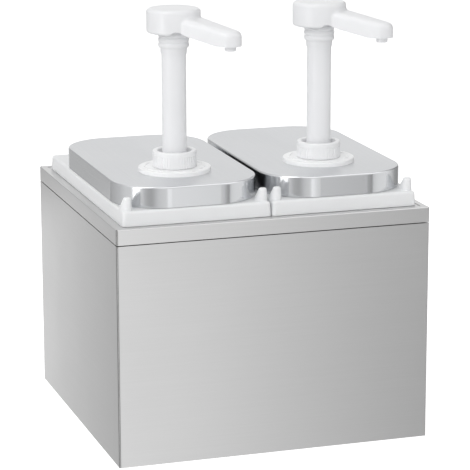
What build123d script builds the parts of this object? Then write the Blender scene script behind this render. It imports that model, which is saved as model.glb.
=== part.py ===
from build123d import *
import os
from math import atan, cos, degrees, radians, sin, sqrt, tan

os.makedirs("parts", exist_ok=True)

# Twin sauce dispenser, in millimetres. The origin is the centre of the housing's
# underside, +Z is up and -Y is the front. Two containers stand side by side in a
# sheet steel housing, each with a steel lid that carries one push-down pump.

# Housing
housing_width = 270.0
housing_depth = 265.0
housing_height = 200.0
sheet = 1.0
bend_radius = 1.4
frame_skirt = 12.7
seam_gap = 0.8
side_lip = 7.8
front_lip = 10.0
frame_border = 5.5
frame_step = 0.4
frame_edge_round = 0.8
rest_width = 3.2
opening_radius = 8.0
base_upturn = 12.0

# Clearances
seat_gap = 0.3
running_gap = 0.3
seal_gap = 0.1
fit_gap = 0.05

# Containers
container_gap = 0.6
plastic_wall = 2.5
rim_height = 12.0
rim_flare = 1.0
rim_corner = 3.4
rim_round = 2.4
body_clearance = 0.8
collar_height = 5.0
container_depth = 187.0
container_draft = 1.2

# Horns, two on the front corners of each container's ledge, upright in front and
# sloping behind
horn_side_inset = 5.9
horn_front_inset = 3.6
horn_width = 10.6
horn_depth = 18.0
horn_top_width = 6.2
horn_top_depth = 5.4
horn_height = 10.8
horn_round = 1.8

# Lids
lid_sheet = 0.8
lid_side_inset = 1.8
lid_front_inset = 3.4
lid_depth = 217.5
lid_height = 17.3
lid_corner = 41.0
lid_round = 1.6
lid_play = 1.5

# Where the pumps stand, and which way their spouts point at rest, measured in
# degrees from +X towards the front
pump_from_front = 76.0
left_swivel = 54.0
right_swivel = 46.5

# Flange disc, its raised arcs and the collar nut
disc_radius = 30.4
disc_thickness = 3.6
disc_round = 0.9
arc_radius = 25.0
arc_width = 1.3
arc_height = 0.5
arc_count = 6
arc_space = 9.0
nut_radius = 18.4
nut_height = 13.6
nut_recess_radius = 14.1
nut_recess_depth = 6.8
nut_web = 2.0
nut_round = 1.1
rib_count = 48
rib_width = 1.3
rib_depth = 0.55
rib_height = 9.8

# Cylinder, hanging through the lid
bore_radius = 11.5
barrel_wall = 2.5
neck_wall = 4.1
neck_play = 0.4
shoulder_radius = 22.0
shoulder_thickness = 2.5
gasket_thickness = 1.5

# Stem, piston and spring
pump_stroke = 80.0
stem_radius = 10.2
stem_bore = 6.5
journal_radius = 8.5
journal_length = 10.2
stem_bar = 2.0
park_gap = 1.0
piston_height = 25.5
piston_stop = 0.5
piston_floor = 4.0
seal_height = 3.0
seal_depth = 1.5
seal_from_bottom = 2.0
spring_wire = 1.6
spring_turns = 16
spring_radius = 9.6
spring_spare = 10.0

# Valves and dip tube
outlet_ball_radius = 4.0
outlet_seat_radius = 2.8
outlet_cage_play = 1.2
inlet_ball_radius = 5.0
inlet_seat_radius = 3.5
inlet_cage_play = 1.5
inlet_lift = 4.5
throat_length = 3.0
retainer_thickness = 2.0
retainer_hole = 2.2
retainer_ring_radius = 3.2
retainer_hole_count = 6
spigot_height = 6.0
valve_flange = 4.0
valve_body_radius = 9.5
dip_tube_radius = 6.0
dip_tube_bore = 4.0
dip_socket_depth = 9.0
dip_clearance = 4.0

# Lock sleeve under the head
ring_radius = 11.2
ring_height = 5.2
ring_taper = 0.4
band_radius = 12.1
band_swell = 0.75
band_count = 3
thread_height = 12.7

# Head, spout and nozzle
cap_radius = 22.5
cap_height = 20.3
cap_top_round = 3.0
cap_bottom_round = 2.2
skirt_overlap = 0.5
skirt_wall = 2.5
skirt_hollow = 4.5
boss_wall = 2.6
socket_depth = 6.0
head_cavity = 8.5
spout_reach = 58.0
spout_root_radius = 15.0
spout_root_offset = 5.0
spout_tip_radius = 9.2
spout_height = 13.1
spout_droop = 10.0
spout_drop = 6.2
spout_flat_start = 50.0
spout_under_slope = 0.218
spout_round = 5.0
blend_radius = 3.0
scoop_start = 7.5
scoop_peak = 13.5
scoop_rise = 1.1
channel_radius = 3.0
channel_rise = 8.0
nozzle_radius = 4.75
nozzle_bore = 2.6
nozzle_drop = 4.1
nozzle_inset = 4.4
nozzle_round = 0.7

# Heights that follow from the sizes above
body_top = housing_height - frame_skirt - seam_gap
ledge_z = housing_height + rim_height
foot_z = housing_height - frame_step + seat_gap
container_bottom = ledge_z - container_depth
floor_z = container_bottom + plastic_wall
collar_z = ledge_z + collar_height
lid_bottom = ledge_z + seat_gap
lid_top = lid_bottom + lid_height
disc_top = lid_top + disc_thickness
nut_bottom = disc_top + seat_gap
nut_top = nut_bottom + nut_height
web_top = nut_top - nut_recess_depth
web_bottom = web_top - nut_web
neck_top = web_bottom - seat_gap
shoulder_top = lid_top - lid_sheet - gasket_thickness
shoulder_bottom = shoulder_top - shoulder_thickness
piston_top = neck_top - piston_stop
piston_bottom = piston_top - piston_height
stem_bottom = piston_top + running_gap - journal_length
outlet_seat_z = piston_bottom + piston_floor
outlet_ball_z = outlet_seat_z + sqrt(outlet_ball_radius**2 - outlet_seat_radius**2) + seat_gap
spring_block = (spring_turns + 2) * spring_wire + spring_spare
retainer_top = piston_bottom - pump_stroke - spring_block
retainer_bottom = retainer_top - retainer_thickness
barrel_bottom = retainer_bottom - spigot_height
inlet_ball_z = retainer_bottom - seat_gap - inlet_lift - inlet_ball_radius
inlet_seat_z = inlet_ball_z - seat_gap - sqrt(inlet_ball_radius**2 - inlet_seat_radius**2)
throat_bottom = inlet_seat_z - throat_length
valve_bottom = throat_bottom - dip_socket_depth
dip_tube_bottom = floor_z + dip_clearance
ring_bottom = nut_top + pump_stroke + park_gap
ring_top = ring_bottom + ring_height
sleeve_top = ring_top + thread_height
skirt_bottom = sleeve_top - skirt_overlap
stem_top = sleeve_top + socket_depth
tip_bottom = skirt_bottom - spout_drop
nozzle_bottom = tip_bottom - nozzle_drop

# Widths, lengths and places that follow
opening_width = housing_width - 2 * (side_lip + rest_width)
opening_depth = housing_depth - 2 * (front_lip + rest_width)
rim_width = (housing_width - 2 * side_lip - container_gap) / 2
rim_length = housing_depth - 2 * front_lip
rim_front = -rim_length / 2
rim_taper = degrees(atan(rim_flare / (ledge_z - foot_z)))
lid_width = rim_width - 2 * lid_side_inset
lid_y = rim_front + lid_front_inset + lid_depth / 2
body_width = rim_width - 2 * (rest_width + body_clearance)
cavity_width = body_width - 2 * plastic_wall
collar_inset = lid_sheet + lid_play
collar_width = lid_width - 2 * collar_inset
collar_length = lid_depth - 2 * collar_inset
collar_wall = (collar_width - cavity_width) / 2
collar_corner = lid_corner - collar_inset
cavity_length = collar_length - 2 * collar_wall
cavity_corner = collar_corner - collar_wall
body_length = cavity_length + 2 * plastic_wall
body_corner = cavity_corner + plastic_wall
container_x = (container_gap + rim_width) / 2
pump_y = -housing_depth / 2 + pump_from_front
barrel_radius = bore_radius + barrel_wall
neck_radius = bore_radius + neck_wall
neck_hole = neck_radius + neck_play
piston_radius = bore_radius - running_gap
outlet_chamber = outlet_ball_radius + outlet_cage_play
inlet_chamber = inlet_ball_radius + inlet_cage_play
boss_radius = stem_radius + boss_wall
droop_slope = tan(radians(spout_droop))


def level(x, y, z):
    """A flat working plane at one point, facing up."""
    return Plane(origin=(x, y, z))


def level_down(x, y, z):
    """A flat working plane at one point, facing down."""
    return Plane(origin=(x, y, z), x_dir=(1, 0, 0), z_dir=(0, 0, -1))


def radial(x):
    """The upright plane through a pump's axis: local x is the radius, local y the height."""
    return Plane(origin=(x, pump_y, 0), x_dir=(1, 0, 0), z_dir=(0, -1, 0))


def pump_axis(x):
    """The upright axis of the pump at x."""
    return Axis((x, pump_y, 0), (0, 0, 1))


def spout_level(x, swivel, z):
    """A flat plane at a pump's axis with local x along its spout."""
    a = radians(swivel)
    return Plane(origin=(x, pump_y, z), x_dir=(cos(a), -sin(a), 0), z_dir=(0, 0, 1))


def spout_side(x, swivel):
    """The upright plane along a spout: local x runs out to the nozzle, local y up."""
    a = radians(swivel)
    return Plane(origin=(x, pump_y, 0), x_dir=(cos(a), -sin(a), 0), z_dir=(-sin(a), -cos(a), 0))


# Housing body: four walls, with an inward flange round the top that carries the frame
with BuildPart() as housing_body:
    with BuildSketch(Plane.XY):
        RectangleRounded(housing_width, housing_depth, bend_radius)
    extrude(amount=body_top)
    with BuildSketch(Plane.XY):
        RectangleRounded(housing_width - 2 * sheet, housing_depth - 2 * sheet, bend_radius - sheet)
    extrude(amount=body_top - sheet, mode=Mode.SUBTRACT)
    with BuildSketch(Plane.XY.offset(body_top - sheet)):
        RectangleRounded(opening_width, opening_depth, opening_radius)
    extrude(amount=sheet, mode=Mode.SUBTRACT)
housing_body.part.label = "housing_body"
export_step(housing_body.part, "parts/housing_body.step")

# Base plate: a shallow tray whose upturned edge stands against the walls
plate_width = housing_width - 2 * (sheet + fit_gap)
plate_depth = housing_depth - 2 * (sheet + fit_gap)
with BuildPart() as base_plate:
    with BuildSketch(Plane.XY):
        RectangleRounded(plate_width, plate_depth, bend_radius - sheet)
    extrude(amount=base_upturn)
    with BuildSketch(Plane.XY.offset(sheet)):
        Rectangle(plate_width - 2 * sheet, plate_depth - 2 * sheet)
    extrude(amount=base_upturn - sheet, mode=Mode.SUBTRACT)
base_plate.part.label = "base_plate"
export_step(base_plate.part, "parts/base_plate.step")

# Top frame: a folded channel with an outer skirt above the seam, a lip stepped down
# inside its border, and an inner skirt that stands on the body's flange
step_width = housing_width - 2 * frame_border
step_depth = housing_depth - 2 * frame_border
lip_z = housing_height - frame_step
with BuildPart() as top_frame:
    with BuildSketch(Plane.XY.offset(body_top + seam_gap)):
        RectangleRounded(housing_width, housing_depth, bend_radius)
    extrude(amount=frame_skirt)
    fillet(top_frame.faces().sort_by(Axis.Z)[-1].edges(), frame_edge_round)
    with BuildSketch(Plane.XY.offset(body_top + seam_gap)):
        RectangleRounded(housing_width - 2 * sheet, housing_depth - 2 * sheet, bend_radius - sheet)
    extrude(amount=frame_skirt - sheet - frame_step, mode=Mode.SUBTRACT)
    with BuildSketch(Plane.XY.offset(lip_z)):
        Rectangle(step_width, step_depth)
    extrude(amount=frame_step, mode=Mode.SUBTRACT)
    with BuildSketch(Plane.XY.offset(body_top)):
        RectangleRounded(opening_width + 2 * sheet, opening_depth + 2 * sheet, opening_radius + sheet)
    extrude(amount=lip_z - body_top)
    with BuildSketch(Plane.XY.offset(body_top)):
        RectangleRounded(opening_width, opening_depth, opening_radius)
    extrude(amount=housing_height - body_top, mode=Mode.SUBTRACT)
top_frame.part.label = "top_frame"
export_step(top_frame.part, "parts/top_frame.step")


def make_horn(x):
    """One horn on the ledge at x: its front stays upright and its back slopes down to the ledge."""
    front = rim_front + horn_front_inset
    with BuildPart() as horn:
        with BuildSketch(level(x, front + horn_depth / 2, ledge_z - plastic_wall / 2)):
            Ellipse(horn_width / 2, horn_depth / 2)
        with BuildSketch(level(x, front + horn_top_depth / 2, ledge_z + horn_height)):
            Ellipse(horn_top_width / 2, horn_top_depth / 2)
        loft()
        fillet(horn.faces().sort_by(Axis.Z)[-1].edges(), horn_round)
    return horn.part


def make_container(side, x):
    """Container: a drafted body hung by a rim band that stands on the frame's lip."""
    rim_z = ledge_z - plastic_wall
    horn_x = rim_width / 2 - horn_side_inset
    left_horn = make_horn(x - horn_x)
    right_horn = make_horn(x + horn_x)
    with BuildPart() as container:
        with BuildSketch(level(x, 0, foot_z)):
            RectangleRounded(rim_width, rim_length, rim_corner)
        extrude(amount=ledge_z - foot_z, taper=rim_taper)
        fillet(container.faces().sort_by(Axis.Z)[-1].edges(), rim_round)
        with BuildSketch(level(x, 0, foot_z)):
            RectangleRounded(rim_width - 2 * plastic_wall, rim_length - 2 * plastic_wall, rim_corner - plastic_wall)
        extrude(amount=rim_z - foot_z, taper=rim_taper, mode=Mode.SUBTRACT)
        with BuildSketch(level_down(x, lid_y, rim_z)):
            RectangleRounded(body_width, body_length, body_corner)
        extrude(amount=rim_z - container_bottom, taper=container_draft)
        fillet(container.faces().sort_by(Axis.Z)[0].edges(), 2 * plastic_wall)
        with BuildSketch(level(x, lid_y, rim_z)):
            RectangleRounded(collar_width, collar_length, collar_corner)
        extrude(amount=collar_z - rim_z)
        add(left_horn)
        add(right_horn)
        with BuildSketch(level(x, lid_y, rim_z)):
            RectangleRounded(cavity_width, cavity_length, cavity_corner)
        extrude(amount=collar_z - rim_z, mode=Mode.SUBTRACT)
        with BuildSketch(level_down(x, lid_y, rim_z)):
            RectangleRounded(cavity_width, cavity_length, cavity_corner)
        extrude(amount=rim_z - floor_z, taper=container_draft, mode=Mode.SUBTRACT)
    container.part.label = f"{side}_container"
    export_step(container.part, f"parts/{side}_container.step")


def make_lid(side, x):
    """Lid: a pressed pan turned upside down, with the hole that the pump's neck passes."""
    with BuildPart() as lid:
        with BuildSketch(level(x, lid_y, lid_bottom)):
            RectangleRounded(lid_width, lid_depth, lid_corner)
        extrude(amount=lid_height)
        fillet(lid.faces().sort_by(Axis.Z)[-1].edges(), lid_round)
        offset(amount=-lid_sheet, openings=lid.faces().sort_by(Axis.Z)[0])
        with BuildSketch(level(x, pump_y, lid_top - 2 * lid_sheet)):
            Circle(neck_hole)
        extrude(amount=3 * lid_sheet, mode=Mode.SUBTRACT)
    lid.part.label = f"{side}_lid"
    export_step(lid.part, f"parts/{side}_lid.step")


def make_flange_disc(side, x):
    """Flange disc on the lid, with short raised arcs near its edge."""
    with BuildPart() as flange_disc:
        with BuildSketch(level(x, pump_y, lid_top)):
            Circle(disc_radius)
        extrude(amount=disc_thickness)
        fillet(flange_disc.faces().sort_by(Axis.Z)[-1].edges(), disc_round)
        with BuildSketch(level(x, pump_y, disc_top - fit_gap)):
            Circle(arc_radius + arc_width / 2)
            Circle(arc_radius - arc_width / 2, mode=Mode.SUBTRACT)
            with PolarLocations(arc_radius, arc_count):
                Rectangle(3 * arc_width, arc_space, mode=Mode.SUBTRACT)
        extrude(amount=arc_height + fit_gap)
        with BuildSketch(level(x, pump_y, lid_top)):
            Circle(neck_hole)
        extrude(amount=disc_thickness, mode=Mode.SUBTRACT)
    flange_disc.part.label = f"{side}_flange_disc"
    export_step(flange_disc.part, f"parts/{side}_flange_disc.step")


def make_collar_nut(side, x):
    """Collar nut: ribbed below, smooth above, recessed round the stem and bored for the neck."""
    core = nut_radius - rib_depth
    with BuildPart() as collar_nut:
        with BuildSketch(level(x, pump_y, nut_bottom)):
            Circle(core)
            with PolarLocations(core, rib_count):
                Rectangle(2 * rib_depth, rib_width)
        extrude(amount=rib_height)
        with BuildSketch(level(x, pump_y, nut_bottom + rib_height)):
            Circle(nut_radius)
        extrude(amount=nut_height - rib_height)
        with BuildSketch(level(x, pump_y, web_top)):
            Circle(nut_recess_radius)
        extrude(amount=nut_recess_depth, mode=Mode.SUBTRACT)
        fillet(collar_nut.faces().sort_by(Axis.Z)[-1].edges(), nut_round)
        with BuildSketch(level(x, pump_y, nut_bottom)):
            Circle(neck_radius + running_gap)
        extrude(amount=web_bottom - nut_bottom, mode=Mode.SUBTRACT)
        with BuildSketch(level(x, pump_y, web_bottom)):
            Circle(stem_radius + running_gap)
        extrude(amount=nut_web, mode=Mode.SUBTRACT)
    collar_nut.part.label = f"{side}_collar_nut"
    export_step(collar_nut.part, f"parts/{side}_collar_nut.step")


def make_neck_gasket(side, x):
    """Gasket between the lid's underside and the cylinder's shoulder."""
    with BuildPart() as neck_gasket:
        with BuildSketch(level(x, pump_y, shoulder_top)):
            Circle(shoulder_radius - gasket_thickness)
            Circle(neck_radius + fit_gap, mode=Mode.SUBTRACT)
        extrude(amount=gasket_thickness)
    neck_gasket.part.label = f"{side}_neck_gasket"
    export_step(neck_gasket.part, f"parts/{side}_neck_gasket.step")


def make_cylinder(side, x):
    """Pump cylinder: neck through the lid, shoulder under it and a long barrel."""
    with BuildPart() as cylinder:
        with BuildSketch(radial(x)):
            with BuildLine():
                Polyline(
                    (bore_radius, barrel_bottom),
                    (barrel_radius, barrel_bottom),
                    (barrel_radius, shoulder_bottom),
                    (shoulder_radius, shoulder_bottom),
                    (shoulder_radius, shoulder_top),
                    (neck_radius, shoulder_top),
                    (neck_radius, neck_top),
                    (bore_radius, neck_top),
                    close=True,
                )
            make_face()
        revolve(axis=pump_axis(x))
    cylinder.part.label = f"{side}_cylinder"
    export_step(cylinder.part, f"parts/{side}_cylinder.step")


def make_piston(side, x):
    """Piston: stem socket above, outlet valve chamber and seat below, a groove for the seal."""
    socket_radius = journal_radius + running_gap
    chamber_top = stem_bottom - running_gap
    groove_bottom = piston_bottom + seal_from_bottom
    groove_radius = piston_radius - seal_depth
    with BuildPart() as piston:
        with BuildSketch(radial(x)):
            with BuildLine():
                Polyline(
                    (outlet_seat_radius, piston_bottom),
                    (piston_radius, piston_bottom),
                    (piston_radius, groove_bottom),
                    (groove_radius, groove_bottom),
                    (groove_radius, groove_bottom + seal_height),
                    (piston_radius, groove_bottom + seal_height),
                    (piston_radius, piston_top),
                    (socket_radius, piston_top),
                    (socket_radius, chamber_top),
                    (outlet_chamber, chamber_top),
                    (outlet_chamber, outlet_seat_z),
                    (outlet_seat_radius, outlet_seat_z),
                    close=True,
                )
            make_face()
        revolve(axis=pump_axis(x))
    piston.part.label = f"{side}_piston"
    export_step(piston.part, f"parts/{side}_piston.step")


def make_piston_seal(side, x):
    """Seal ring in the piston's groove."""
    with BuildPart() as piston_seal:
        with BuildSketch(level(x, pump_y, piston_bottom + seal_from_bottom + fit_gap)):
            Circle(bore_radius - seal_gap)
            Circle(piston_radius - seal_depth + fit_gap, mode=Mode.SUBTRACT)
        extrude(amount=seal_height - 2 * fit_gap)
    piston_seal.part.label = f"{side}_piston_seal"
    export_step(piston_seal.part, f"parts/{side}_piston_seal.step")


def make_return_spring(side, x):
    """Return spring: one helical wire between the ball retainer and the piston."""
    start = retainer_top + spring_wire / 2 + fit_gap
    length = piston_bottom - spring_wire / 2 - seat_gap - start
    with BuildPart() as return_spring:
        with BuildLine(level(x, pump_y, start)):
            coil = Helix(pitch=length / spring_turns, height=length, radius=spring_radius)
        with BuildSketch(Plane(origin=coil @ 0, z_dir=coil % 0)):
            Circle(spring_wire / 2)
        sweep(path=coil, is_frenet=True)
    return_spring.part.label = f"{side}_return_spring"
    export_step(return_spring.part, f"parts/{side}_return_spring.step")


def make_outlet_ball(side, x):
    """Outlet ball, resting just above its seat in the piston."""
    with BuildPart(level(x, pump_y, outlet_ball_z)) as outlet_ball:
        Sphere(outlet_ball_radius)
    outlet_ball.part.label = f"{side}_outlet_ball"
    export_step(outlet_ball.part, f"parts/{side}_outlet_ball.step")


def make_inlet_ball(side, x):
    """Inlet ball, resting just above its seat in the foot valve."""
    with BuildPart(level(x, pump_y, inlet_ball_z)) as inlet_ball:
        Sphere(inlet_ball_radius)
    inlet_ball.part.label = f"{side}_inlet_ball"
    export_step(inlet_ball.part, f"parts/{side}_inlet_ball.step")


def make_ball_retainer(side, x):
    """Ball retainer: a drilled disc that keeps the ball down and seats the spring."""
    with BuildPart() as ball_retainer:
        with BuildSketch(level(x, pump_y, retainer_bottom)):
            Circle(bore_radius - fit_gap)
            with PolarLocations(retainer_ring_radius, retainer_hole_count):
                Circle(retainer_hole / 2, mode=Mode.SUBTRACT)
        extrude(amount=retainer_thickness)
    ball_retainer.part.label = f"{side}_ball_retainer"
    export_step(ball_retainer.part, f"parts/{side}_ball_retainer.step")


def make_valve_body(side, x):
    """Foot valve body: spigot in the barrel, ball chamber, seat, throat and dip tube socket."""
    spigot_radius = bore_radius - fit_gap
    flange_bottom = barrel_bottom - valve_flange
    tube_socket = dip_tube_radius + fit_gap
    with BuildPart() as valve_body:
        with BuildSketch(radial(x)):
            with BuildLine():
                Polyline(
                    (tube_socket, valve_bottom),
                    (valve_body_radius, valve_bottom),
                    (valve_body_radius, flange_bottom),
                    (barrel_radius, flange_bottom),
                    (barrel_radius, barrel_bottom),
                    (spigot_radius, barrel_bottom),
                    (spigot_radius, retainer_bottom),
                    (inlet_chamber, retainer_bottom),
                    (inlet_chamber, inlet_seat_z),
                    (inlet_seat_radius, inlet_seat_z),
                    (inlet_seat_radius, throat_bottom),
                    (tube_socket, throat_bottom),
                    close=True,
                )
            make_face()
        revolve(axis=pump_axis(x))
    valve_body.part.label = f"{side}_valve_body"
    export_step(valve_body.part, f"parts/{side}_valve_body.step")


def make_dip_tube(side, x):
    """Dip tube, from just above the container's floor up into the foot valve."""
    with BuildPart() as dip_tube:
        with BuildSketch(level(x, pump_y, dip_tube_bottom)):
            Circle(dip_tube_radius)
            Circle(dip_tube_bore, mode=Mode.SUBTRACT)
        extrude(amount=throat_bottom - dip_tube_bottom)
    dip_tube.part.label = f"{side}_dip_tube"
    export_step(dip_tube.part, f"parts/{side}_dip_tube.step")


def make_stem(side, x):
    """Stem: a tube with a journal in the piston and a bar that keeps the outlet ball down."""
    shoulder_z = piston_top + running_gap
    with BuildPart() as stem:
        with BuildSketch(radial(x)):
            with BuildLine():
                Polyline(
                    (stem_bore, stem_bottom),
                    (journal_radius, stem_bottom),
                    (journal_radius, shoulder_z),
                    (stem_radius, shoulder_z),
                    (stem_radius, stem_top),
                    (stem_bore, stem_top),
                    close=True,
                )
            make_face()
        revolve(axis=pump_axis(x))
        with BuildSketch(level(x, pump_y, stem_bottom)):
            Rectangle(stem_bore + journal_radius, stem_bar)
        extrude(amount=stem_bar)
    stem.part.label = f"{side}_stem"
    export_step(stem.part, f"parts/{side}_stem.step")


def make_lock_sleeve(side, x):
    """Lock sleeve on the stem: a plain ring below and rounded bands up to the head."""
    inner = stem_radius + fit_gap
    band_height = thread_height / band_count
    with BuildPart() as lock_sleeve:
        with BuildSketch(radial(x)):
            with BuildLine():
                Polyline(
                    (band_radius, sleeve_top),
                    (inner, sleeve_top),
                    (inner, ring_bottom),
                    (ring_radius - ring_taper, ring_bottom),
                    (ring_radius, ring_top),
                    (band_radius, ring_top),
                )
                for i in range(band_count):
                    low = ring_top + i * band_height
                    SagittaArc((band_radius, low), (band_radius, low + band_height), -band_swell)
            make_face()
        revolve(axis=pump_axis(x))
    lock_sleeve.part.label = f"{side}_lock_sleeve"
    export_step(lock_sleeve.part, f"parts/{side}_lock_sleeve.step")


def make_nozzle(side, x, swivel):
    """Nozzle: a short tube pressed up into the spout's tip."""
    with BuildPart() as nozzle:
        with BuildSketch(spout_level(x, swivel, nozzle_bottom)):
            with Locations((spout_reach, 0)):
                Circle(nozzle_radius)
        extrude(amount=nozzle_drop + nozzle_inset)
        fillet(nozzle.faces().sort_by(Axis.Z)[0].edges(), nozzle_round)
        with BuildSketch(spout_level(x, swivel, nozzle_bottom)):
            with Locations((spout_reach, 0)):
                Circle(nozzle_bore)
        extrude(amount=nozzle_drop + nozzle_inset, mode=Mode.SUBTRACT)
    nozzle.part.label = f"{side}_nozzle"
    export_step(nozzle.part, f"parts/{side}_nozzle.step")


def under_z(reach):
    """Height of the spout's sloping underside at a distance from the pump's axis."""
    return tip_bottom + (spout_flat_start - reach) * spout_under_slope


def make_spout(x, swivel):
    """The spout on its own: a tapered plan cut to a drooping side profile."""
    tip_top = tip_bottom + spout_height
    tip_end = spout_reach + spout_tip_radius
    with BuildPart() as spout:
        with BuildSketch(spout_level(x, swivel, tip_bottom)):
            with Locations((spout_root_offset, 0)):
                Circle(spout_root_radius)
            with Locations((spout_reach, 0)):
                Circle(spout_tip_radius)
            make_hull()
            with Locations((-spout_root_radius / 2, 0)):
                Rectangle(spout_root_radius, 2 * spout_root_radius, mode=Mode.SUBTRACT)
        extrude(amount=cap_height + spout_drop)
        with BuildSketch(spout_side(x, swivel)):
            with BuildLine():
                Polyline(
                    (0, under_z(0)),
                    (spout_flat_start, tip_bottom),
                    (tip_end, tip_bottom),
                    (tip_end, tip_top - spout_tip_radius * droop_slope),
                    (0, tip_top + spout_reach * droop_slope),
                    close=True,
                )
            make_face()
        extrude(amount=cap_radius, both=True, mode=Mode.INTERSECT)
        fillet(spout.faces().sort_by(Axis.Z)[-1].edges(), spout_round)
    return spout.part


def make_head(side, x, swivel):
    """Head: a round cap and a drooping spout, with the way from the stem to the nozzle."""
    spout = make_spout(x, swivel)
    a = radians(swivel)
    boss_bottom = sleeve_top + fit_gap
    channel_z = tip_bottom + channel_rise
    scoop_end = cap_radius + skirt_wall
    channel_end = spout_reach + channel_radius
    end_z = channel_z - channel_radius * droop_slope
    outlet = (x + channel_end * cos(a), pump_y - channel_end * sin(a), end_z)
    inward = (-cos(a), sin(a), droop_slope)
    with BuildPart() as head:
        with BuildSketch(level(x, pump_y, skirt_bottom)):
            Circle(cap_radius)
        extrude(amount=cap_height)
        fillet(head.faces().sort_by(Axis.Z)[0].edges(), cap_bottom_round)
        add(spout)
        meeting = head.edges(Select.NEW).filter_by(lambda e: (e @ 0.5).Z > skirt_bottom + cap_bottom_round)
        fillet(meeting, blend_radius)
        fillet(head.faces().sort_by(Axis.Z)[-1].edges(), cap_top_round)
        with BuildSketch(level(x, pump_y, skirt_bottom)):
            Circle(cap_radius - skirt_wall)
        extrude(amount=boss_bottom - skirt_bottom, mode=Mode.SUBTRACT)
        with BuildSketch(level(x, pump_y, boss_bottom)):
            Circle(cap_radius - skirt_wall)
            Circle(boss_radius, mode=Mode.SUBTRACT)
        extrude(amount=skirt_hollow, mode=Mode.SUBTRACT)
        with BuildSketch(spout_side(x, swivel)):
            with BuildLine():
                Spline(
                    (scoop_start, skirt_bottom),
                    (scoop_peak, under_z(scoop_peak) + scoop_rise),
                    (scoop_end, under_z(scoop_end)),
                    tangents=[(1, 0), (1, -spout_under_slope)],
                )
                Polyline(
                    (scoop_end, under_z(scoop_end)),
                    (scoop_end, tip_bottom),
                    (scoop_start, tip_bottom),
                    (scoop_start, skirt_bottom),
                )
            make_face()
        extrude(amount=cap_radius, both=True, mode=Mode.SUBTRACT)
        with BuildSketch(level(x, pump_y, boss_bottom)):
            Circle(stem_radius + fit_gap)
        extrude(amount=stem_top + fit_gap - boss_bottom, mode=Mode.SUBTRACT)
        with BuildSketch(level(x, pump_y, stem_top)):
            Circle(stem_bore)
        extrude(amount=head_cavity, mode=Mode.SUBTRACT)
        with BuildSketch(Plane(origin=outlet, z_dir=inward)):
            Circle(channel_radius)
        extrude(amount=channel_end, mode=Mode.SUBTRACT)
        with BuildSketch(spout_level(x, swivel, tip_bottom)):
            with Locations((spout_reach, 0)):
                Circle(nozzle_bore)
        extrude(amount=channel_rise, mode=Mode.SUBTRACT)
        with BuildSketch(spout_level(x, swivel, tip_bottom)):
            with Locations((spout_reach, 0)):
                Circle(nozzle_radius + fit_gap)
        extrude(amount=nozzle_inset + fit_gap, mode=Mode.SUBTRACT)
    head.part.label = f"{side}_head"
    export_step(head.part, f"parts/{side}_head.step")


for side, x, swivel in (("left", -container_x, left_swivel), ("right", container_x, right_swivel)):
    make_container(side, x)
    make_lid(side, x)
    make_flange_disc(side, x)
    make_collar_nut(side, x)
    make_neck_gasket(side, x)
    make_cylinder(side, x)
    make_piston(side, x)
    make_piston_seal(side, x)
    make_return_spring(side, x)
    make_outlet_ball(side, x)
    make_inlet_ball(side, x)
    make_ball_retainer(side, x)
    make_valve_body(side, x)
    make_dip_tube(side, x)
    make_stem(side, x)
    make_lock_sleeve(side, x)
    make_head(side, x, swivel)
    make_nozzle(side, x, swivel)
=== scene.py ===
import math
import bpy
from mathutils import Matrix, Vector


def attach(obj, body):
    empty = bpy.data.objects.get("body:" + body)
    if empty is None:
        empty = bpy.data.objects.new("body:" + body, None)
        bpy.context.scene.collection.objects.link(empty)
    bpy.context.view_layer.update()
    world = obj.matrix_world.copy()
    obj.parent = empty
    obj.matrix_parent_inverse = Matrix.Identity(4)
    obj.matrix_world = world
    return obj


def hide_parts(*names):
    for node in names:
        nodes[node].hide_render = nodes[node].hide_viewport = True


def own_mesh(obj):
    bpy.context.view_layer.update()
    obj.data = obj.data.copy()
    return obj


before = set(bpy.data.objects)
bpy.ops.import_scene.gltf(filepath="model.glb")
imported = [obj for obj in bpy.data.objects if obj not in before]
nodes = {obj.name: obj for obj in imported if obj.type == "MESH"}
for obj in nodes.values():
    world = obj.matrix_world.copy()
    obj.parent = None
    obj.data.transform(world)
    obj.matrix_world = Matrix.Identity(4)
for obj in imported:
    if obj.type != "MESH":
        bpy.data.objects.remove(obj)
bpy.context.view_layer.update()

sides = ("left", "right")

# Viewpoint: where the lens stands, which way it looks, and how long it is in pixels of the picture
eye = (-0.5998, -1.8754, 0.6305)
look_azimuth, look_elevation, look_roll = 17.94, 13.55, -0.11
picture_width, focal_length = 470.0, 2320.0
sensor_width = 36.0

# Upright folds of the housing: how far out across and along a fold begins, and how dark the painted dark
# reflection along a fold is
fold_starts = (0.1341, 0.1301)
fold_painted_reflection_tint = (0.42, 0.42, 0.42)
fold_sharpness = 2500.0

# How far light travels under the skin of the white plastics
skin_depth = 0.006

# Brightness that the steel mirrors from each way round, in degrees from the front
mirrored_round = [
    (-180.0, 0.85), (-172.0, 0.56), (-150.0, 0.54), (-112.0, 0.72), (-98.0, 0.86),
    (-76.0, 0.85), (-73.0, 4.2), (-62.0, 4.2), (-59.0, 0.9), (-42.0, 0.55),
    (-30.0, 0.5), (-16.0, 0.78), (0.0, 0.88), (34.0, 0.8), (50.0, 0.95), (80.0, 1.0),
    (112.0, 0.42), (136.0, 0.3), (148.0, 0.9), (180.0, 0.9)]

# Lamps: place, size and power. All aim at one point above the counter.
lamp_target = (0.0, 0.0, 0.2)
lamps = {
    "key_box": ((-1.25, -1.65, 1.35), 1.2, 13.0),
    "fill_box": ((1.8, -1.2, 1.2), 1.4, 3.0),
    "top_box": ((-0.3, 0.3, 2.2), 1.6, 5.0)}


# Camera: low to the left of the front, looking a little down.

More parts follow.
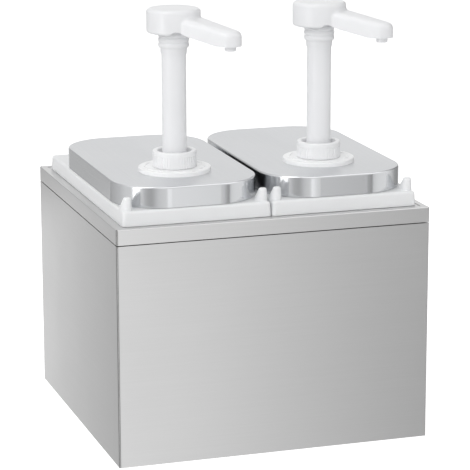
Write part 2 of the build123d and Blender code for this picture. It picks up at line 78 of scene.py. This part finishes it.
def make_camera():
    """The photograph's viewpoint: a long lens two metres away."""
    azimuth, elevation, roll = (math.radians(turn) for turn in (look_azimuth, look_elevation, look_roll))
    ahead = Vector((math.sin(azimuth) * math.cos(elevation),
                    math.cos(azimuth) * math.cos(elevation),
                    -math.sin(elevation)))
    data = bpy.data.cameras.new("viewpoint")
    data.sensor_width = sensor_width
    data.lens = sensor_width * focal_length / picture_width
    data.clip_start, data.clip_end = 0.05, 50.0
    camera = bpy.data.objects.new("viewpoint", data)
    bpy.context.scene.collection.objects.link(camera)
    camera.rotation_mode = "QUATERNION"
    turn = ahead.to_track_quat("-Z", "Y").to_matrix() @ Matrix.Rotation(roll, 3, "Z")
    camera.rotation_quaternion = turn.to_quaternion()
    camera.location = eye
    bpy.context.scene.camera = camera


# Small helpers for building materials.

def node(tree, kind, **settings):
    """Adds one node and sets its plain values."""
    made = tree.nodes.new(kind)
    for name, value in settings.items():
        setattr(made, name, value)
    return made


def set_inputs(made, **values):
    """Fills sockets by name, with spaces written as underscores."""
    for name, value in values.items():
        made.inputs[name.replace("_", " ")].default_value = value
    return made


def wire(tree, source, target):
    tree.links.new(source, target)


def ramp(tree, source, stops):
    """A grey ramp fed by one value."""
    made = node(tree, "ShaderNodeValToRGB")
    points = made.color_ramp.elements
    while len(points) < len(stops):
        points.new(0.5)
    for point, (place, shade) in zip(points, stops):
        point.position = place
        point.color = (shade, shade, shade, 1.0)
    wire(tree, source, made.inputs[0])
    return made.outputs[0]


def maths(tree, operation, first, second=None, third=None, clamp=False):
    """One math node with sockets or plain numbers as its inputs."""
    made = node(tree, "ShaderNodeMath", operation=operation, use_clamp=clamp)
    for place, value in enumerate((first, second, third)):
        if value is None:
            continue
        if hasattr(value, "is_output"):
            wire(tree, value, made.inputs[place])
        else:
            made.inputs[place].default_value = value
    return made.outputs[0]


def moved_range(tree, value, source, target):
    """A value moved from one range, low to high, into another."""
    made = node(tree, "ShaderNodeMapRange")
    limits = zip(("From Min", "From Max", "To Min", "To Max"), (*source, *target))
    for label, limit in limits:
        made.inputs[label].default_value = limit
    wire(tree, value, made.inputs["Value"])
    return made.outputs["Result"]


def new_group(name, inputs, outputs):
    """An empty shader group with its sockets."""
    group = bpy.data.node_groups.new(name, "ShaderNodeTree")
    for label, kind, value in inputs:
        socket = group.interface.new_socket(label, in_out="INPUT", socket_type=kind)
        if value is not None:
            socket.default_value = value
    for label, kind in outputs:
        group.interface.new_socket(label, in_out="OUTPUT", socket_type=kind)
    entry = node(group, "NodeGroupInput")
    leave = node(group, "NodeGroupOutput")
    return group, entry, leave


def brushed_lines():
    """Fine parallel scratches with broader streaks, for rolled and brushed sheet."""
    group, entry, leave = new_group(
        "brushed_lines",
        [("Position", "NodeSocketVector", None), ("Fineness", "NodeSocketFloat", 1.0)],
        [("Scratches", "NodeSocketFloat"), ("Streaks", "NodeSocketFloat")])
    sized = node(group, "ShaderNodeVectorMath", operation="SCALE")
    wire(group, entry.outputs["Position"], sized.inputs[0])
    wire(group, entry.outputs["Fineness"], sized.inputs["Scale"])
    fine = set_inputs(node(group, "ShaderNodeTexNoise"), Scale=1.0, Detail=6.0, Roughness=0.65)
    wire(group, sized.outputs[0], fine.inputs["Vector"])
    broad = set_inputs(node(group, "ShaderNodeTexNoise"), Scale=0.12, Detail=3.0, Roughness=0.5)
    wire(group, sized.outputs[0], broad.inputs["Vector"])
    wire(group, fine.outputs["Fac"], leave.inputs["Scratches"])
    wire(group, broad.outputs["Fac"], leave.inputs["Streaks"])
    return group


def handling_marks():
    """Soft cloudy patches where hands and cloths have passed."""
    group, entry, leave = new_group(
        "handling_marks",
        [("Position", "NodeSocketVector", None), ("Size", "NodeSocketFloat", 1.0)],
        [("Clouds", "NodeSocketFloat"), ("Specks", "NodeSocketFloat")])
    clouds = set_inputs(node(group, "ShaderNodeTexNoise"), Detail=4.0, Roughness=0.55, Distortion=0.4)
    wire(group, entry.outputs["Position"], clouds.inputs["Vector"])
    wire(group, maths(group, "MULTIPLY", entry.outputs["Size"], 14.0), clouds.inputs["Scale"])
    specks = set_inputs(node(group, "ShaderNodeTexVoronoi"), Randomness=1.0)
    wire(group, entry.outputs["Position"], specks.inputs["Vector"])
    wire(group, maths(group, "MULTIPLY", entry.outputs["Size"], 420.0), specks.inputs["Scale"])
    dots = ramp(group, specks.outputs["Distance"], [(0.0, 1.0), (0.12, 0.0)])
    patches = ramp(group, clouds.outputs["Fac"], [(0.35, 0.0), (0.7, 1.0)])
    wire(group, patches, leave.inputs["Clouds"])
    wire(group, dots, leave.inputs["Specks"])
    return group


def moulded_skin():
    """The faint pebble and flow of an injection moulded surface."""
    group, entry, leave = new_group(
        "moulded_skin",
        [("Position", "NodeSocketVector", None), ("Grain", "NodeSocketFloat", 1.0)],
        [("Pebble", "NodeSocketFloat"), ("Flow", "NodeSocketFloat")])
    pebble = set_inputs(node(group, "ShaderNodeTexNoise"), Detail=2.0, Roughness=0.5)
    wire(group, entry.outputs["Position"], pebble.inputs["Vector"])
    wire(group, maths(group, "MULTIPLY", entry.outputs["Grain"], 1400.0), pebble.inputs["Scale"])
    flow = set_inputs(node(group, "ShaderNodeTexNoise"),
                      Scale=22.0, Detail=3.0, Roughness=0.5, Distortion=0.8)
    wire(group, entry.outputs["Position"], flow.inputs["Vector"])
    wire(group, pebble.outputs["Fac"], leave.inputs["Pebble"])
    wire(group, flow.outputs["Fac"], leave.inputs["Flow"])
    return group


def upright_corners():
    """One on the folds of a box's upright corners, and nought elsewhere."""
    group, entry, leave = new_group(
        "upright_corners",
        [("Position", "NodeSocketVector", None), ("Across", "NodeSocketFloat", 1.0),
         ("Along", "NodeSocketFloat", 1.0)],
        [("Fold", "NodeSocketFloat")])
    split = node(group, "ShaderNodeSeparateXYZ")
    wire(group, entry.outputs["Position"], split.inputs[0])
    masks = []
    for axis, limit in (("X", "Across"), ("Y", "Along")):
        out_from_middle = maths(group, "ABSOLUTE", split.outputs[axis])
        past = maths(group, "SUBTRACT", out_from_middle, entry.outputs[limit])
        masks.append(maths(group, "MULTIPLY_ADD", past, fold_sharpness, 1.0, clamp=True))
    wire(group, maths(group, "MULTIPLY", *masks), leave.inputs["Fold"])
    return group


groups = {}


def placed(tree, maker, position, **values):
    """Places one shared group in a material."""
    if maker.__name__ not in groups:
        groups[maker.__name__] = maker()
    made = node(tree, "ShaderNodeGroup", node_tree=groups[maker.__name__])
    wire(tree, position, made.inputs["Position"])
    for name, value in values.items():
        made.inputs[name].default_value = value
    return made


def start_material(name):
    """An empty material with its shader and object coordinates."""
    material = bpy.data.materials.new(name)
    material.use_nodes = True
    tree = material.node_tree
    shader = tree.nodes["Principled BSDF"]
    spot = node(tree, "ShaderNodeTexCoord").outputs["Object"]
    return material, tree, shader, spot


def stretched(tree, spot, scale):
    """Object coordinates stretched so that a pattern runs one way."""
    made = node(tree, "ShaderNodeMapping")
    made.inputs["Scale"].default_value = scale
    wire(tree, spot, made.inputs["Vector"])
    return made.outputs[0]


def between(tree, factor, low, high):
    """A colour that moves from low to high with a value."""
    made = node(tree, "ShaderNodeMix", data_type="RGBA")
    made.inputs["A"].default_value = (*low, 1.0)
    made.inputs["B"].default_value = (*high, 1.0)
    wire(tree, factor, made.inputs["Factor"])
    return made.outputs["Result"]


def spread(tree, value, low, high):
    """A value moved from 0..1 into low..high."""
    return moved_range(tree, value, (0.0, 1.0), (low, high))


def bumped(tree, shader, height, strength, distance):
    """Feeds a height into the shader's normal."""
    made = node(tree, "ShaderNodeBump")
    made.inputs["Strength"].default_value = strength
    made.inputs["Distance"].default_value = distance
    wire(tree, height, made.inputs["Height"])
    wire(tree, made.outputs["Normal"], shader.inputs["Normal"])


def darker(tree, colour, factor, tint):
    """A colour multiplied by a tint where the factor is one."""
    made = node(tree, "ShaderNodeMix", data_type="RGBA", blend_type="MULTIPLY")
    made.inputs["B"].default_value = (*tint, 1.0)
    wire(tree, colour, made.inputs["A"])
    wire(tree, factor, made.inputs["Factor"])
    return made.outputs["Result"]


def brushed_steel(name, scale, dark, bright, rough, anisotropic=0.7, folds=None, duller_top=0.0):
    """Sheet steel brushed one way, where asked with a painted dark reflection along upright folds or a
    duller top.
    """
    material, tree, shader, spot = start_material(name)
    lines = placed(tree, brushed_lines, stretched(tree, spot, scale), Fineness=1.0)
    marks = placed(tree, handling_marks, spot, Size=1.0)
    streaks = maths(tree, "MULTIPLY", lines.outputs["Streaks"], 0.4)
    mixed = maths(tree, "MULTIPLY_ADD", lines.outputs["Scratches"], 0.6, streaks)
    colour = between(tree, mixed, dark, bright)
    # Painted reflection: the steel colour is darkened along the upright folds to stand in for the dark
    # line they reflect.
    if folds:
        corner = placed(tree, upright_corners, spot, Across=folds[0], Along=folds[1])
        colour = darker(tree, colour, corner.outputs["Fold"], fold_painted_reflection_tint)
    wire(tree, colour, shader.inputs["Base Color"])
    rougher = maths(tree, "ADD", spread(tree, lines.outputs["Scratches"], rough - 0.04, rough + 0.04),
                    spread(tree, marks.outputs["Clouds"], 0.0, 0.025))
    if duller_top:
        facing = node(tree, "ShaderNodeSeparateXYZ")
        wire(tree, node(tree, "ShaderNodeTexCoord").outputs["Normal"], facing.inputs[0])
        upward = ramp(tree, facing.outputs["Z"], [(0.75, 0.0), (0.97, 1.0)])
        rougher = maths(tree, "ADD", rougher, maths(tree, "MULTIPLY", upward, duller_top))
    wire(tree, rougher, shader.inputs["Roughness"])
    shader.inputs["Metallic"].default_value = 1.0
    shader.inputs["Anisotropic"].default_value = anisotropic
    shader.inputs["Anisotropic Rotation"].default_value = 0.25
    tangent = node(tree, "ShaderNodeTangent", direction_type="RADIAL", axis="Z")
    wire(tree, tangent.outputs[0], shader.inputs["Tangent"])
    bumped(tree, shader, lines.outputs["Scratches"], 0.02, 0.0002)
    return material


def white_plastic(name, low, high, rough, depth, sheen_coat=0.15, shine=0.5):
    """Moulded white plastic, with a little light carried under its skin."""
    material, tree, shader, spot = start_material(name)
    skin = placed(tree, moulded_skin, spot, Grain=1.0)
    marks = placed(tree, handling_marks, spot, Size=1.6)
    wire(tree, between(tree, skin.outputs["Flow"], low, high), shader.inputs["Base Color"])
    rougher = maths(tree, "ADD", spread(tree, skin.outputs["Pebble"], rough - 0.03, rough + 0.03),
                    spread(tree, marks.outputs["Clouds"], 0.0, 0.05))
    wire(tree, rougher, shader.inputs["Roughness"])
    shader.inputs["Coat Weight"].default_value = sheen_coat
    shader.inputs["Coat Roughness"].default_value = 0.25
    shader.inputs["IOR"].default_value = 1.49
    shader.inputs["Specular IOR Level"].default_value = shine
    shader.inputs["Subsurface Weight"].default_value = depth
    shader.inputs["Subsurface Radius"].default_value = (skin_depth, skin_depth, skin_depth)
    shader.inputs["Subsurface Scale"].default_value = 1.0
    bumped(tree, shader, skin.outputs["Pebble"], 0.05, 0.0002)
    return material


def seal_rubber():
    """Pale food grade rubber of the gaskets and seals."""
    material, tree, shader, spot = start_material("seal_rubber")
    skin = placed(tree, moulded_skin, spot, Grain=0.6)
    colour = between(tree, skin.outputs["Flow"], (0.55, 0.54, 0.52), (0.63, 0.62, 0.60))
    wire(tree, colour, shader.inputs["Base Color"])
    wire(tree, spread(tree, skin.outputs["Pebble"], 0.55, 0.7), shader.inputs["Roughness"])
    bumped(tree, shader, skin.outputs["Pebble"], 0.15, 0.0003)
    return material


def spring_wire():
    """Drawn spring wire."""
    material, tree, shader, spot = start_material("spring_wire")
    lines = placed(tree, brushed_lines, stretched(tree, spot, (300.0, 300.0, 2500.0)), Fineness=1.0)
    colour = between(tree, lines.outputs["Streaks"], (0.45, 0.45, 0.46), (0.58, 0.58, 0.60))
    wire(tree, colour, shader.inputs["Base Color"])
    wire(tree, spread(tree, lines.outputs["Scratches"], 0.22, 0.34), shader.inputs["Roughness"])
    shader.inputs["Metallic"].default_value = 1.0
    return material


def polished_ball():
    """Polished valve ball."""
    material, tree, shader, spot = start_material("polished_ball")
    marks = placed(tree, handling_marks, spot, Size=3.0)
    colour = between(tree, marks.outputs["Clouds"], (0.68, 0.69, 0.70), (0.78, 0.78, 0.79))
    wire(tree, colour, shader.inputs["Base Color"])
    wire(tree, spread(tree, marks.outputs["Specks"], 0.08, 0.2), shader.inputs["Roughness"])
    shader.inputs["Metallic"].default_value = 1.0
    return material


def dress(name, material):
    """Gives a node its one material."""
    piece = nodes[name]
    piece.data.materials.clear()
    piece.data.materials.append(material)


def dress_nodes():
    """Every node gets its finish."""
    # The housing and frame steels get painted dark reflections along their upright folds.
    wall = brushed_steel("housing_wall_steel", (90.0, 90.0, 9000.0),
                         (0.60, 0.60, 0.60), (0.68, 0.68, 0.68), 0.30, folds=fold_starts)
    frame_steel = brushed_steel("frame_steel", (90.0, 90.0, 9000.0),
                                (0.63, 0.63, 0.63), (0.72, 0.72, 0.72), 0.30, folds=fold_starts)
    base = brushed_steel("base_steel", (90.0, 9000.0, 90.0),
                         (0.50, 0.50, 0.50), (0.60, 0.60, 0.60), 0.38, anisotropic=0.3)
    lid = brushed_steel("lid_steel", (7000.0, 80.0, 7000.0),
                        (0.57, 0.58, 0.595), (0.75, 0.76, 0.775), 0.16,
                        anisotropic=0.4, duller_top=0.16)
    tub = white_plastic("container_plastic", (0.87, 0.88, 0.89), (0.91, 0.92, 0.93), 0.42, 0.25)
    body = white_plastic("pump_plastic", (0.85, 0.855, 0.87), (0.89, 0.895, 0.91), 0.30, 0.08)
    tube = white_plastic("stem_plastic", (0.87, 0.875, 0.89), (0.91, 0.915, 0.93), 0.3, 0.08,
                         sheen_coat=0.0, shine=0.25)
    collar = white_plastic("collar_plastic", (0.90, 0.905, 0.915), (0.94, 0.945, 0.955), 0.34, 0.08)
    # The flange disc's plastic is painted lighter than the other white plastics, standing in for the
    # light that falls on it.
    disc = white_plastic("disc_plastic_painted_brighter", (0.95, 0.955, 0.96), (0.98, 0.985, 0.99), 0.36, 0.08)
    hidden = white_plastic("cylinder_plastic", (0.78, 0.79, 0.79), (0.84, 0.85, 0.85), 0.36, 0.2)
    rubber, wire_steel, ball = seal_rubber(), spring_wire(), polished_ball()
    dress("housing_body", wall)
    dress("top_frame", frame_steel)
    dress("base_plate", base)
    finishes = {
        "container": tub, "lid": lid, "flange_disc": disc, "neck_gasket": rubber,
        "collar_nut": collar, "cylinder": hidden, "valve_body": hidden,
        "ball_retainer": hidden, "dip_tube": hidden, "return_spring": wire_steel,
        "piston": hidden, "piston_seal": rubber, "stem": tube, "lock_sleeve": tube,
        "head": body, "nozzle": body, "inlet_ball": ball, "outlet_ball": ball}
    for side in sides:
        for kind, material in finishes.items():
            dress(f"{side}_{kind}", material)


# Return springs.

def make_springs():
    """Each return spring as a smoothly shaded copy of its node that moves with its lid unit."""
    for side in sides:
        node_name = f"{side}_return_spring"
        bpy.ops.object.select_all(action="DESELECT")
        nodes[node_name].select_set(True)
        bpy.context.view_layer.objects.active = nodes[node_name]
        bpy.ops.object.duplicate()
        coil = bpy.context.object
        coil.name = f"{side}_spring_coil"
        bpy.ops.object.mode_set(mode="EDIT")
        bpy.ops.mesh.select_all(action="SELECT")
        bpy.ops.mesh.remove_doubles(threshold=1e-6)
        bpy.ops.object.mode_set(mode="OBJECT")
        bpy.ops.object.shade_smooth()
        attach(coil, f"{side}_lid_unit")
        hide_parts(node_name)
        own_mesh(coil)


# Floor, backdrop colour and lights.

def make_floor():
    """A pale floor that shows the white background and keeps a faint shadow."""
    bpy.ops.object.select_all(action="DESELECT")
    bpy.ops.mesh.primitive_plane_add(size=8.0, location=(0.0, 0.0, 0.0))
    floor = bpy.context.object
    floor.name = "pale_floor"
    material = bpy.data.materials.new("pale_floor")
    material.use_nodes = True
    tree = material.node_tree
    tree.nodes.clear()
    path = node(tree, "ShaderNodeLightPath")
    matt = set_inputs(node(tree, "ShaderNodeBsdfDiffuse"), Color=(0.82, 0.82, 0.82, 1.0))
    glow = set_inputs(node(tree, "ShaderNodeEmission"), Color=(1.0, 1.0, 1.0, 1.0), Strength=0.62)
    both = node(tree, "ShaderNodeAddShader")
    wire(tree, matt.outputs[0], both.inputs[0])
    wire(tree, glow.outputs[0], both.inputs[1])
    chosen = node(tree, "ShaderNodeMixShader")
    wire(tree, path.outputs["Is Camera Ray"], chosen.inputs[0])
    wire(tree, matt.outputs[0], chosen.inputs[1])
    wire(tree, both.outputs[0], chosen.inputs[2])
    leave = node(tree, "ShaderNodeOutputMaterial")
    wire(tree, chosen.outputs[0], leave.inputs["Surface"])
    floor.data.materials.append(material)
    floor.visible_glossy = False


def make_world():
    """White to the camera, a studio gradient to the steel, and soft light to the rest."""
    world = bpy.data.worlds.new("studio")
    bpy.context.scene.world = world
    world.use_nodes = True
    tree = world.node_tree
    tree.nodes.clear()
    path = node(tree, "ShaderNodeLightPath")
    direction = node(tree, "ShaderNodeTexCoord").outputs["Generated"]
    split = node(tree, "ShaderNodeSeparateXYZ")
    wire(tree, direction, split.inputs[0])
    turn = maths(tree, "ARCTAN2", split.outputs["X"], maths(tree, "MULTIPLY", split.outputs["Y"], -1.0))
    around = maths(tree, "MULTIPLY_ADD", turn, 1.0 / (2.0 * math.pi), 0.5)
    stops = [(degrees / 360.0 + 0.5, brightness) for degrees, brightness in mirrored_round]
    shine = ramp(tree, around, stops)
    white = set_inputs(node(tree, "ShaderNodeBackground"), Color=(1.0, 1.0, 1.0, 1.0), Strength=1.0)
    gloss = node(tree, "ShaderNodeBackground")
    wire(tree, shine, gloss.inputs["Color"])
    overhead = moved_range(tree, split.outputs["Z"], (0.4, 0.85), (1.0, 1.7))
    wire(tree, overhead, gloss.inputs["Strength"])
    soft = set_inputs(node(tree, "ShaderNodeBackground"), Color=(1.0, 1.0, 1.0, 1.0))
    leaning = moved_range(tree, split.outputs["X"], (-1.0, 1.0), (0.92, 0.56))
    above = moved_range(tree, split.outputs["Z"], (0.0, 1.0), (1.0, 0.78))
    wire(tree, maths(tree, "MULTIPLY", leaning, above), soft.inputs["Strength"])
    first = node(tree, "ShaderNodeMixShader")
    mirrored = maths(tree, "ADD", path.outputs["Is Glossy Ray"],
                     path.outputs["Is Transmission Ray"], clamp=True)
    wire(tree, mirrored, first.inputs[0])
    wire(tree, soft.outputs[0], first.inputs[1])
    wire(tree, gloss.outputs[0], first.inputs[2])
    second = node(tree, "ShaderNodeMixShader")
    wire(tree, path.outputs["Is Camera Ray"], second.inputs[0])
    wire(tree, first.outputs[0], second.inputs[1])
    wire(tree, white.outputs[0], second.inputs[2])
    leave = node(tree, "ShaderNodeOutputWorld")
    wire(tree, second.outputs[0], leave.inputs["Surface"])


def make_card(name, depth, edges, top, graded, glows):
    """An upright card that only reflections see. Its glow changes evenly over the graded stretch."""
    bpy.ops.object.select_all(action="DESELECT")
    bpy.ops.mesh.primitive_plane_add(size=1.0, location=(0.0, 0.0, 0.0))
    card = bpy.context.object
    card.name = name
    for corner in card.data.vertices:
        across, up = corner.co.x + 0.5, corner.co.y
        corner.co = (edges[0] + (edges[1] - edges[0]) * across, depth, top - 0.5 + up)
    material = bpy.data.materials.new(name)
    material.use_nodes = True
    tree = material.node_tree
    tree.nodes.clear()
    split = node(tree, "ShaderNodeSeparateXYZ")
    wire(tree, node(tree, "ShaderNodeTexCoord").outputs["Object"], split.inputs[0])
    glow = set_inputs(node(tree, "ShaderNodeEmission"), Color=(1.0, 1.0, 1.0, 1.0))
    wire(tree, moved_range(tree, split.outputs["X"], graded, glows), glow.inputs["Strength"])
    leave = node(tree, "ShaderNodeOutputMaterial")
    wire(tree, glow.outputs[0], leave.inputs["Surface"])
    card.data.materials.append(material)
    card.visible_camera = False
    card.visible_diffuse = False
    card.visible_shadow = False
    card.visible_transmission = False


def make_lamp(name, place, size, power):
    """One soft box aimed at the object, not seen in reflections."""
    data = bpy.data.lights.new(name, "AREA")
    data.shape = "SQUARE"
    data.size = size
    data.energy = power
    lamp = bpy.data.objects.new(name, data)
    bpy.context.scene.collection.objects.link(lamp)
    lamp.location = place
    lamp.rotation_mode = "QUATERNION"
    lamp.rotation_quaternion = (Vector(lamp_target) - Vector(place)).to_track_quat("-Z", "Y")
    lamp.visible_glossy = False


bpy.context.scene.view_settings.view_transform = "Standard"
make_camera()
dress_nodes()
make_springs()
make_floor()
make_world()
make_card("card_behind", 0.6, (-0.42, 0.05), 0.06, (-0.457, 0.02), (0.0, 2.18))
make_card("card_in_front", -1.0, (0.0, 0.7), 0.2, (0.0, 0.7), (1.32, 0.25))
for lamp_name, (place, size, power) in lamps.items():
    make_lamp(lamp_name, place, size, power)
